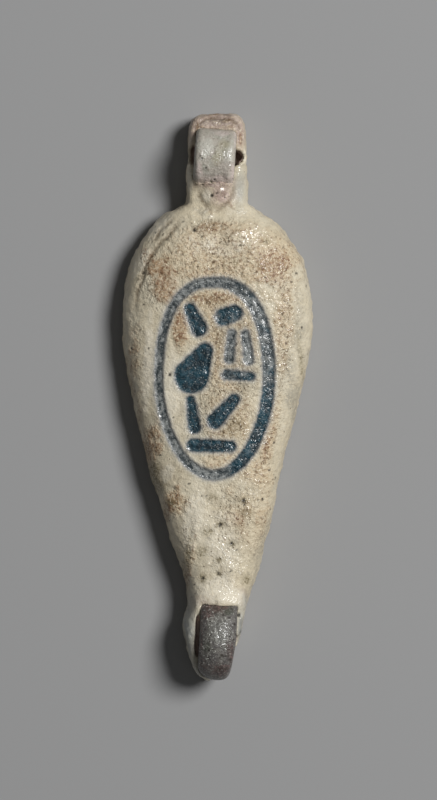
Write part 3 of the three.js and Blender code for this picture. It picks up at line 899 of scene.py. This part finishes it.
# The petal's paste and its stains
CREAM = srgb(220, 210, 186)
PALE = srgb(235, 226, 205)
TAN = srgb(210, 188, 154)
OLD_CREAM = srgb(213, 200, 172)
DULL_CREAM = srgb(198, 188, 163)
OCHRE = srgb(168, 134, 99)
SAND = srgb(230, 216, 186)
UMBER = srgb(98, 77, 52)
BARK = srgb(132, 108, 78)
RUST = srgb(126, 88, 60)
OLIVE = srgb(120, 108, 76)
ASH_GREY = srgb(150, 146, 134)
PINK = srgb(148, 122, 114)
ROSE = srgb(197, 171, 161)
BLUSH = srgb(228, 208, 198)
GLASS = srgb(148, 150, 147)
PALE_GLASS = srgb(170, 170, 161)
HOLLOW_SHADE_BROWN = srgb(204, 180, 168)
# Painted shade for the pits and the thread holes
RECESS_SHADE_BLACK = srgb(34, 28, 22)

# The inlay
TEAL = srgb(22, 66, 80)
DEEP_TEAL = srgb(10, 38, 48)
VIOLET = srgb(144, 147, 145)
SLATE = srgb(52, 61, 64)
FRINGE = srgb(118, 120, 122)
HALO = srgb(196, 194, 184)
WHITE_GRAIN = srgb(226, 226, 216)

# The upper ring
GREY = srgb(184, 176, 164)
GREY_GREEN = srgb(170, 167, 152)
MAUVE = srgb(217, 200, 192)
MOSS = srgb(166, 158, 132)
ICE = srgb(206, 203, 192)
DUSK = srgb(124, 112, 98)

# The lower ring
PURPLE_GREY = srgb(86, 82, 80)
PURPLE_BROWN = srgb(74, 60, 56)
ASH = srgb(112, 108, 102)
PALE_ASH = srgb(105, 104, 98)
DARK_MOSS = srgb(72, 74, 64)
CHALK = srgb(168, 166, 158)
DUSTY_ROSE = srgb(142, 116, 110)
SOOT = srgb(46, 40, 34)


def ragged(g, mask, breakup, low=0.22, high=0.85):
    """A soft stain's mask with its edge broken up by a noise."""
    return g.between(g.plus(g.mask(mask), g.times(g.plus(breakup, -0.5), 1.3)), low, high)


def specks(g, amount, size, low, high, most):
    """Scattered specks, thicker where the amount is more."""
    level = g.plus(g.noise(size, 2, 0.6), g.times(amount, 0.07))
    return g.times(g.between(level, low, high), g.between(amount, 0.0, 0.6, 0.12 * most, most))


def lay_stains(g, grain, patch, tan, brown):
    """The petal's broad stains."""
    g.lay(g.between(g.noise(4.5, 3, 0.55), 0.35, 0.65), OLD_CREAM)
    g.lay(g.between(patch, 0.4, 0.62, 0.0, 0.35), DULL_CREAM)
    pink = g.mix(g.between(patch, 0.4, 0.6), PINK, ROSE)
    pink = g.mix(g.between(g.noise(0.6, 3, 0.6), 0.52, 0.66, 0.0, 0.7), pink, BLUSH)
    g.lay(g.times(g.mask("pink"), 0.9), pink)
    g.lay(g.times(tan, g.between(grain, 0.35, 0.65, 0.4, 1.0)), TAN)
    g.lay(g.times(brown, g.between(grain, 0.35, 0.65, 0.35, 0.9)), OCHRE)
    # Whitish paste, with a few spots painted as if lit
    g.lay(g.times(ragged(g, "pale_and_painted_lighting", patch), 0.85), PALE)
    g.lay(g.times(ragged(g, "grey", patch, 0.2, 0.9), 0.6), ASH_GREY)
    g.lay(g.times(g.mask("olive"), g.between(grain, 0.35, 0.55, 0.3, 1.0)), OLIVE)


def lay_specks(g, tan, brown, grit):
    """The petal's mottling, sandy grains, dark specks and scattered dots."""
    mottle = g.between(g.noise(0.42, 3, 0.7), 0.48, 0.62)
    g.lay(g.times(mottle, g.plus(0.12, g.times(grit, 0.1))), BARK)
    grains = g.between(g.noise(0.2, 1, 0.5), 0.54, 0.66)
    g.lay(g.times(grains, g.plus(0.45, g.times(tan, 0.4))), SAND)
    g.lay(specks(g, brown, 0.3, 0.57, 0.68, 0.65), RUST)
    g.lay(specks(g, tan, 0.3, 0.6, 0.7, 0.5), RUST)
    g.lay(specks(g, grit, 0.22, 0.61, 0.7, 0.7), BARK)
    g.lay(specks(g, grit, 0.36, 0.65, 0.72, 0.8), UMBER)
    g.lay(specks(g, g.mask("olive"), 0.3, 0.58, 0.66, 0.7), OLIVE)
    dots = g.times(g.between(g.cells(0.6), 0.16, 0.08), g.between(g.noise(0.9, 1), 0.5, 0.62, 0.0, 0.8))
    g.lay(dots, UMBER)


def lay_inlay(g, grain, patch):
    """The teal and violet inlay in its soft fringe. What it returns is 1 on the inlay."""
    edge = g.plus(g.mask("inlay"), g.times(g.plus(grain, -0.5), 0.32))
    g.lay(g.between(edge, 0.55, 0.05, 0.0, 0.45), HALO)
    g.lay(g.between(edge, 0.24, -0.04, 0.0, 0.85), FRINGE)
    teal = g.mix(g.between(g.noise(0.6, 3, 0.6), 0.38, 0.62), DEEP_TEAL, TEAL)
    violet = g.mix(g.between(g.noise(0.6, 4, 0.75), 0.4, 0.6), SLATE, VIOLET)
    share = g.plus(g.mask("violet"), g.times(g.plus(patch, -0.5), 1.6))
    paste = g.mix(g.between(share, 0.3, 0.8), teal, violet)
    paste = g.mix(g.between(g.noise(0.12, 1), 0.64, 0.72, 0.0, 0.4), paste, WHITE_GRAIN)
    inlay = g.between(edge, 0.05, -0.12)
    g.lay(inlay, paste)
    return inlay


def cream_faience():
    g = Glaze("cream_faience", CREAM)
    grain = g.noise(0.26, 3, 0.65)
    patch = g.noise(1.1, 4, 0.65)
    tan = ragged(g, "tan", patch)
    brown = ragged(g, "brown", patch)
    grit = ragged(g, "grit", grain, 0.2, 0.8)

    lay_stains(g, grain, patch, tan, brown)
    lay_specks(g, tan, brown, grit)
    glass = g.mix(g.between(patch, 0.4, 0.6), GLASS, PALE_GLASS)
    g.lay(g.times(g.mask("glass"), 0.95), glass)
    inlay = lay_inlay(g, grain, patch)
    # Painted shade darkens the grooves
    g.lay(g.times(g.mask("crease"), g.between(grain, 0.3, 0.6, 0.25, 0.7)), UMBER)
    # Painted shade darkens the pits
    g.lay(g.mask("pit"), RECESS_SHADE_BLACK)
    # Painted shade: a brownish darkening deep in the hollows and sockets
    g.lay(g.mask("deep"), HOLLOW_SHADE_BROWN)

    roughness = g.between(patch, 0.3, 0.7, 0.42, 0.6)
    dirt = g.maths("MAXIMUM", g.maths("MAXIMUM", tan, brown), grit)
    fine = g.noise(0.13, 2, 0.6)
    coarse = g.times(g.noise(0.55, 3, 0.65), g.plus(0.5, g.times(dirt, 0.5)))
    normal = g.bump(fine, 0.045, g.bump(coarse, 0.27))
    coat = g.plus(g.between(patch, 0.4, 0.65, 0.08, 0.35), g.plus(g.times(inlay, 0.25), g.mask("wet")))
    coat = g.plus(coat, g.times(g.mask("rim"), g.between(patch, 0.45, 0.6)))
    coat_normal = g.bump(g.plus(g.noise(0.3, 1, 0.5), g.times(g.noise(0.8, 1), 0.6)), 0.11)
    return g.finish(roughness, normal, coat, g.between(grain, 0.4, 0.7, 0.06, 0.2), coat_normal)


def grey_faience():
    g = Glaze("grey_faience", GREY)
    grain = g.noise(0.25, 3, 0.6)
    patch = g.noise(1.0, 4, 0.65)
    g.lay(g.between(patch, 0.38, 0.62), GREY_GREEN)
    # Paler patches, and painted highlight where the glints cluster
    g.lay(g.times(ragged(g, "pale_and_highlight", patch), 0.6), ICE)
    g.lay(g.times(ragged(g, "moss", patch), 0.7), MOSS)
    g.lay(g.times(ragged(g, "mauve_and_shade", patch), 0.9), MAUVE)
    g.lay(g.between(g.noise(0.5, 4, 0.7, 1.0), 0.54, 0.64, 0.0, 0.4), ICE)
    g.lay(g.between(g.noise(0.24, 2), 0.58, 0.68, 0.0, 0.5), DUSK)
    g.lay(g.between(grain, 0.6, 0.7, 0.0, 0.5), WHITE_GRAIN)
    # Painted shade darkens the inside of the thread hole
    g.lay(g.times(g.mask("bore"), 0.7), UMBER)
    # Painted shade darkens the pits
    g.lay(g.mask("pit"), RECESS_SHADE_BLACK)
    coat_normal = g.bump(g.noise(0.24, 1, 0.5), 0.125)
    roughness = g.between(patch, 0.3, 0.7, 0.4, 0.55)
    coat = g.plus(g.between(patch, 0.4, 0.62, 0.1, 0.35), g.mask("wet"))
    normal = g.bump(g.noise(0.55, 3, 0.65), 0.2)
    return g.finish(roughness, normal, coat, g.between(grain, 0.4, 0.7, 0.05, 0.14), coat_normal)


def purple_faience():
    g = Glaze("purple_faience", PURPLE_GREY)
    grain = g.noise(0.2, 3, 0.65)
    patch = g.noise(0.9, 4, 0.65)
    g.lay(g.between(patch, 0.36, 0.62), ASH)
    # Paler patches, and painted highlight where the glints cluster
    g.lay(ragged(g, "pale_and_highlight", patch), PALE_ASH)
    g.lay(g.times(ragged(g, "moss", patch), 0.9), DARK_MOSS)
    # Purple-brown patches, with painted shade along the left edge
    g.lay(g.times(ragged(g, "mauve_and_shade", patch), 0.95), PURPLE_BROWN)
    g.lay(g.times(g.mask("edge"), 0.4), PURPLE_GREY)
    veins = g.between(g.noise(0.3, 4, 0.7, 1.0), 0.5, 0.64)
    # Chalky veins, thicker under the painted highlight
    g.lay(g.times(veins, g.plus(0.25, g.times(g.mask("pale_and_highlight"), 0.6))), CHALK)
    pink = g.times(g.between(g.noise(0.26, 2), 0.54, 0.64), g.mask("mauve_and_shade"))
    g.lay(g.times(pink, 0.55), DUSTY_ROSE)
    g.lay(g.between(g.noise(0.32, 2), 0.57, 0.67, 0.0, 0.85), SOOT)
    grains = g.between(g.noise(0.16, 1), 0.62, 0.7)
    # White grains, thicker under the painted highlight
    g.lay(g.times(grains, g.plus(0.35, g.times(g.mask("pale_and_highlight"), 0.6))), WHITE_GRAIN)
    # Painted shade darkens the inside of the thread hole
    g.lay(g.times(g.mask("bore"), 0.7), RECESS_SHADE_BLACK)
    # Painted shade darkens the pits
    g.lay(g.mask("pit"), RECESS_SHADE_BLACK)
    coat_normal = g.bump(g.noise(0.32, 1, 0.5), 0.13)
    roughness = g.between(patch, 0.3, 0.7, 0.35, 0.5)
    coat = g.plus(g.between(patch, 0.35, 0.65, 0.1, 0.3), g.mask("wet"))
    normal = g.bump(g.noise(0.35, 3, 0.65), 0.14)
    return g.finish(roughness, normal, coat, g.between(grain, 0.4, 0.7, 0.05, 0.12), coat_normal)


# Stage

FLOOR_COLOUR = srgb(161, 161, 161)
FLOOR_ROUGHNESS = 0.9
FLOOR_SHINE = 0.1
FLOOR_REACH = 1.5
KEY_DIRECTION = (0.66, 0.32, 1.0)
KEY_DISTANCE = 0.7
KEY_SIZE = 0.26
KEY_POWER = 4.55
FILL_COLOUR = (0.96, 0.98, 1.0, 1.0)
FILL = 0.085
CAMERA_HEIGHT = 0.5
SHARP_HEIGHT = 2.5 * MM
SENSOR = 24.0
CLIP_START = 0.01


def make_floor():
    mesh = bpy.data.meshes.new("floor")
    reach = FLOOR_REACH
    corners = [(-reach, -reach, 0), (reach, -reach, 0), (reach, reach, 0), (-reach, reach, 0)]
    mesh.from_pydata(corners, [], [(0, 1, 2, 3)])
    material = bpy.data.materials.new("floor")
    material.use_nodes = True
    shader = material.node_tree.nodes["Principled BSDF"]
    shader.inputs["Base Color"].default_value = FLOOR_COLOUR
    shader.inputs["Roughness"].default_value = FLOOR_ROUGHNESS
    shader.inputs["Specular IOR Level"].default_value = FLOOR_SHINE
    mesh.materials.append(material)
    floor = bpy.data.objects.new("floor", mesh)
    bpy.context.scene.collection.objects.link(floor)


def make_lights():
    world = bpy.data.worlds.new("studio")
    world.use_nodes = True
    background = world.node_tree.nodes["Background"]
    background.inputs["Color"].default_value = FILL_COLOUR
    background.inputs["Strength"].default_value = FILL
    bpy.context.scene.world = world
    data = bpy.data.lights.new("key", "AREA")
    data.shape = "DISK"
    data.size = KEY_SIZE
    data.energy = KEY_POWER
    key = bpy.data.objects.new("key", data)
    direction = Vector(KEY_DIRECTION).normalized()
    key.location = direction * KEY_DISTANCE
    key.rotation_euler = direction.to_track_quat("Z", "Y").to_euler()
    bpy.context.scene.collection.objects.link(key)


def make_camera():
    """Straight down, framed as the photograph is."""
    data = bpy.data.cameras.new("camera")
    data.sensor_fit = "VERTICAL"
    data.sensor_height = SENSOR
    frame_height = PHOTO_SIZE[1] * MM_PER_PIXEL * MM
    data.lens = SENSOR * (CAMERA_HEIGHT - SHARP_HEIGHT) / frame_height
    data.clip_start = CLIP_START
    camera = bpy.data.objects.new("camera", data)
    x, y = from_photo(PHOTO_SIZE[0] / 2, PHOTO_SIZE[1] / 2)
    camera.location = (x * MM, y * MM, CAMERA_HEIGHT)
    bpy.context.scene.collection.objects.link(camera)
    bpy.context.scene.camera = camera


make_petal(cream_faience())
make_ring("upper_ring", "upper_ring_bead", grey_faience())
make_ring("lower_ring", "lower_ring_bead", purple_faience())
make_floor()
make_lights()
make_camera()
bpy.context.scene.view_settings.view_transform = "Standard"
